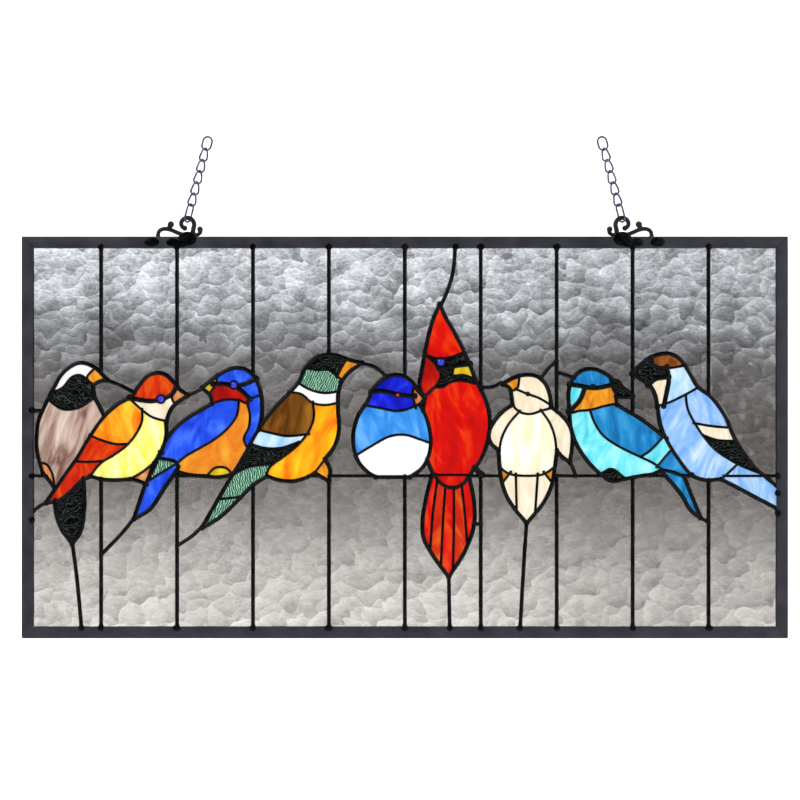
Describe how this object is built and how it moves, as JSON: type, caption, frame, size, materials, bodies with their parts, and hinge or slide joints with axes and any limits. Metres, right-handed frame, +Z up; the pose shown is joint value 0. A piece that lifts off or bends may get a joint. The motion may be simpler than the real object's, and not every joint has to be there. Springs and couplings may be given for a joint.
{
  "type": "stained glass window panel",
  "caption": "Wide hanging stained glass panel of small perched birds in a channel frame, with scroll hangers and short chains.",
  "frame": {"origin": "inside of the top of the left chain's last link, where a wall hook bears", "axes": "+X to the right along the panel's width, as its front is seen, +Y from the front to the back through its thickness, +Z up"},
  "size_m": [0.635, 0.0066, 0.4165],
  "materials": {
    "clear_glass": "hammered, see-through",
    "lead_lines": "black patina on solder",
    "frame": "matt black patina",
    "cast_iron": "blackened",
    "chain": "bright nickel",
    "mauve_glass": "glossy, opalescent",
    "black_glass": "glossy, opalescent",
    "amber_glass": "glossy, opalescent",
    "yellow_glass": "glossy, opalescent",
    "red_glass": "glossy, opalescent",
    "blue_glass": "glossy, opalescent",
    "brown_glass": "glossy, opalescent",
    "green_glass": "glossy, opalescent",
    "white_glass": "glossy, opalescent",
    "sky_glass": "glossy, opalescent",
    "cream_glass": "glossy, opalescent",
    "teal_glass": "glossy, opalescent",
    "aqua_glass": "glossy, opalescent",
    "pale_blue_glass": "glossy, opalescent"
  },
  "bodies": {
    "root": {"blue_bird_belly": "amber_glass", "blue_bird_head": "blue_glass", "blue_bird_tail": "blue_glass", "blue_bird_wing": "blue_glass", "chain_left": "chain", "chain_right": "chain", "clear_pane_lower_1": "clear_glass", "clear_pane_lower_2": "clear_glass", "clear_pane_lower_3": "clear_glass", "clear_pane_lower_4": "clear_glass", "clear_pane_lower_5": "clear_glass", "clear_pane_lower_6": "clear_glass", "clear_pane_lower_7": "clear_glass", "clear_pane_upper_1": "clear_glass", "clear_pane_upper_2": "clear_glass", "clear_pane_upper_3": "clear_glass", "clear_pane_upper_4": "clear_glass", "clear_pane_upper_5": "clear_glass", "clear_pane_upper_6": "clear_glass", "clear_pane_upper_7": "clear_glass", "collared_bird_breast": "amber_glass", "collared_bird_head": "green_glass", "collared_bird_tail": "green_glass", "collared_bird_wing": "brown_glass", "collared_bird_wing_tip": "black_glass", "crested_bird_body": "red_glass", "crested_bird_crest": "red_glass", "crested_bird_face": "red_glass", "crested_bird_tail": "red_glass", "frame_bottom": "frame", "frame_left": "frame", "frame_right": "frame", "frame_top": "frame", "hanger_left": "cast_iron", "hanger_right": "cast_iron", "lead_lines": "lead_lines", "mauve_bird_body": "mauve_glass", "mauve_bird_head": "black_glass", "mauve_bird_tail": "black_glass", "pale_bird_breast": "pale_blue_glass", "pale_bird_head": "pale_blue_glass", "pale_bird_tail": "pale_blue_glass", "pale_bird_wing": "pale_blue_glass", "round_bird_belly": "white_glass", "round_bird_breast": "sky_glass", "round_bird_head": "blue_glass", "teal_bird_breast": "aqua_glass", "teal_bird_head": "teal_glass", "teal_bird_rump": "aqua_glass", "teal_bird_tail": "teal_glass", "teal_bird_wing": "teal_glass", "white_bird_belly": "white_glass", "white_bird_head": "cream_glass", "white_bird_left_wing": "cream_glass", "white_bird_right_wing": "cream_glass", "white_bird_tail": "cream_glass", "yellow_bird_belly": "yellow_glass", "yellow_bird_head": "red_glass", "yellow_bird_tail": "red_glass", "yellow_bird_wing": "amber_glass"}
  },
  "joints": []
}
